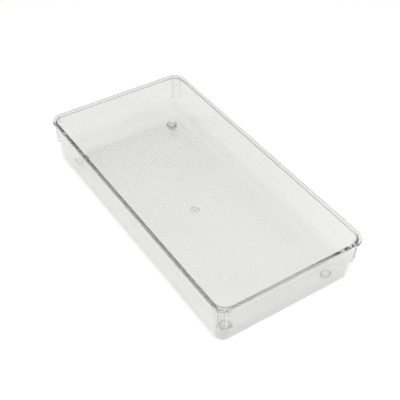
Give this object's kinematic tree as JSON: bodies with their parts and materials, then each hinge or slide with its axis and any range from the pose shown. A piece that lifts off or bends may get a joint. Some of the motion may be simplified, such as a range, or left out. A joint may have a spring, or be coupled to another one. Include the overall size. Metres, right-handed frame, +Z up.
{
  "type": "drawer organizer tray",
  "caption": "Long shallow clear plastic tray with a rounded rim, sloping walls, finely ribbed floor, stacking fins at the corners and clear bumper feet.",
  "frame": {"origin": "centre of the tray on the surface its feet stand on", "axes": "+X along the length, +Y across the width, +Z up towards the open top"},
  "size_m": [0.305, 0.1554, 0.0534],
  "materials": {
    "clear_polystyrene": "clear gloss with fine scuffs",
    "clear_polyurethane": "clear soft gloss",
    "clear_adhesive": "clear satin"
  },
  "bodies": {
    "root": {"tray": "clear_polystyrene", "foot_front_left": "clear_polyurethane", "foot_front_right": "clear_polyurethane", "foot_rear_right": "clear_polyurethane", "foot_rear_left": "clear_polyurethane", "adhesive_front_left": "clear_adhesive", "adhesive_front_right": "clear_adhesive", "adhesive_rear_right": "clear_adhesive", "adhesive_rear_left": "clear_adhesive"}
  },
  "joints": []
}
